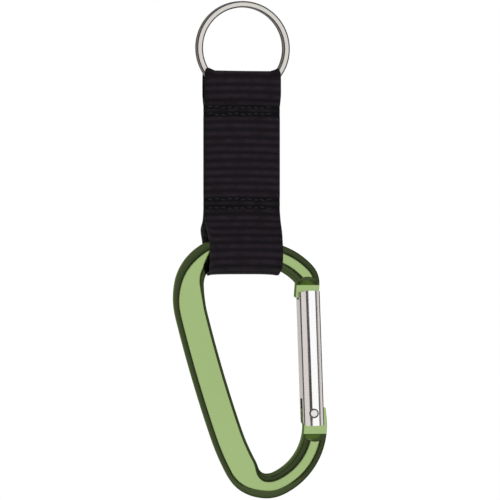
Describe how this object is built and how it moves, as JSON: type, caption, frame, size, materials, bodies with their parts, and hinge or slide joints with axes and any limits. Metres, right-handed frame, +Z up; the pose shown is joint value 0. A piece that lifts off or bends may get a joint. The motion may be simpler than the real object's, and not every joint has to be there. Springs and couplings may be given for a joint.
{
  "type": "carabiner keyring",
  "caption": "Split ring and looped webbing strap on a bent-rod carabiner with a sprung channel gate, for carrying keys on a bag or belt loop.",
  "frame": {"origin": "top of the inside of the split ring, where a hook or peg carries the keyring", "axes": "+Z up as it hangs, X across the strap with the gate on the +X side, Y through the thickness"},
  "size_m": [0.0488, 0.013, 0.1556],
  "materials": {
    "plated_steel": "nickel plated, polished",
    "webbing": "ribbed black polyester webbing",
    "thread": "slightly shiny black thread",
    "green_anodised": "bright green anodised",
    "bare_aluminium": "satin",
    "rivet_metal": "polished head",
    "spring_steel": "drawn wire"
  },
  "bodies": {
    "ring": {"split_ring": "plated_steel"},
    "strap_top": {"strap_upper": "webbing", "upper_stitching": "thread"},
    "strap_end": {"strap_lower": "webbing", "lower_stitching": "thread"},
    "carabiner": {"carabiner_body": "green_anodised"},
    "gate": {"gate_channel": "bare_aluminium", "gate_rivet": "rivet_metal", "gate_spring": "spring_steel"},
    "plunger": {"spring_plunger": "spring_steel"}
  },
  "joints": [
    {"name": "ring_spin", "type": "hinge", "parent": "ring", "child": "strap_top", "pos_m": [0, 0, -0.0126], "axis": [0, 1, 0], "continuous": true},
    {"name": "strap_flex", "type": "hinge", "parent": "strap_top", "child": "strap_end", "pos_m": [0, 0, -0.046], "axis": [1, 0, 0], "range_deg": [-90, 90]},
    {"name": "strap_swing", "type": "hinge", "parent": "strap_end", "child": "carabiner", "pos_m": [0, 0, -0.0768], "axis": [1, 0, 0], "range_deg": [-100, 100]},
    {"name": "gate_hinge", "type": "hinge", "parent": "carabiner", "child": "gate", "pos_m": [0.0221, 0, -0.1267], "axis": [0, -1, 0], "range_deg": [0, 42], "stiffness_Nm_per_rad": 0.08, "springref_deg": -20.05},
    {"name": "plunger_slide", "type": "slide", "parent": "gate", "child": "plunger", "axis": [-0.0349, 0, 0.9994], "range_m": [0, 0.00042], "deforming": ["gate_spring"]}
  ],
  "couplings": [
    {"joint": "plunger_slide", "follows": "gate_hinge", "m_per_rad": 0.000554}
  ]
}
